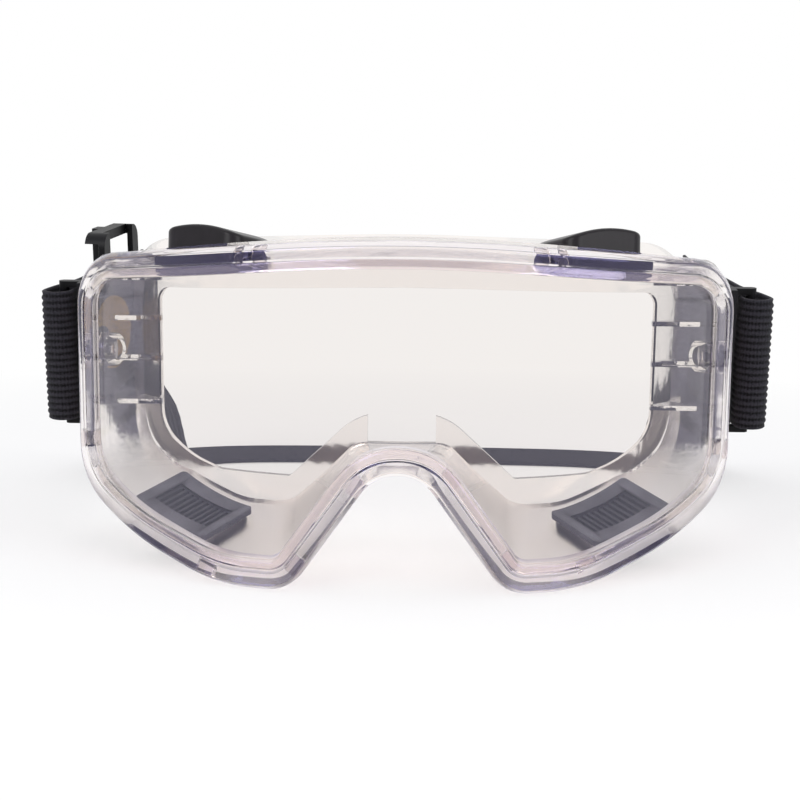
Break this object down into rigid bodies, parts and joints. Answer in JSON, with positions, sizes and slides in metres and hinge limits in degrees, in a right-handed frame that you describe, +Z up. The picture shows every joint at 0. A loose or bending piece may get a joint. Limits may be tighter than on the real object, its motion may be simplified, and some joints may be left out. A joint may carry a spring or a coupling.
{
  "type": "sports protective goggles",
  "caption": "Wide wrap-around clear safety goggles with soft face seal, indirect vents and adjustable elastic headband.",
  "frame": {"origin": "on the table under the middle of the whole length, midway between the temples", "axes": "+X to the wearer's left, +Y from the lens back to the face, +Z up"},
  "size_m": [0.2466, 0.2552, 0.095],
  "materials": {
    "polycarbonate_lens": "optical",
    "clear_rim": "moulded gloss",
    "clear_tabs": "moulded gloss",
    "clear_pvc": "soft moulded gloss",
    "vent_grey": "moulded satin",
    "vent_black": "moulded gloss",
    "black_nylon": "moulded satin",
    "elastic_webbing": "ribbed weave",
    "stitching_thread": "thread",
    "tan_label": "satin"
  },
  "bodies": {
    "goggles": {"lens": "polycarbonate_lens", "lens_bezel": "clear_rim", "bezel_snap_tabs": "clear_tabs", "locating_pins": "clear_tabs", "frame_shell": "clear_pvc", "face_flange": "clear_pvc", "upper_vent_grille_left": "vent_black", "upper_vent_hood_left": "vent_black", "upper_vent_grille_right": "vent_black", "upper_vent_hood_right": "vent_black", "lower_vent_grille_left": "vent_grey", "lower_vent_hood_left": "vent_black", "lower_vent_grille_right": "vent_grey", "lower_vent_hood_right": "vent_black", "pivot_pin_left": "clear_tabs", "pivot_pin_right": "clear_tabs", "pivot_cap_left": "clear_tabs", "pivot_cap_right": "clear_tabs"},
    "headband": {"strap_clip_left": "black_nylon", "strap_clip_right": "black_nylon", "elastic_strap": "elastic_webbing", "strap_stitching": "stitching_thread", "clip_label": "tan_label"},
    "slider": {"strap_slider": "black_nylon"}
  },
  "joints": [
    {"name": "headband_tilt", "type": "hinge", "parent": "goggles", "child": "headband", "pos_m": [0, -0.05613, 0.0572], "axis": [1, 0, 0], "range_deg": [-10, 20]},
    {"name": "slider_slide", "type": "slide", "parent": "headband", "child": "slider", "axis": [0.1392, 0.9806, 0.1378], "range_m": [-0.006, 0.006]}
  ]
}
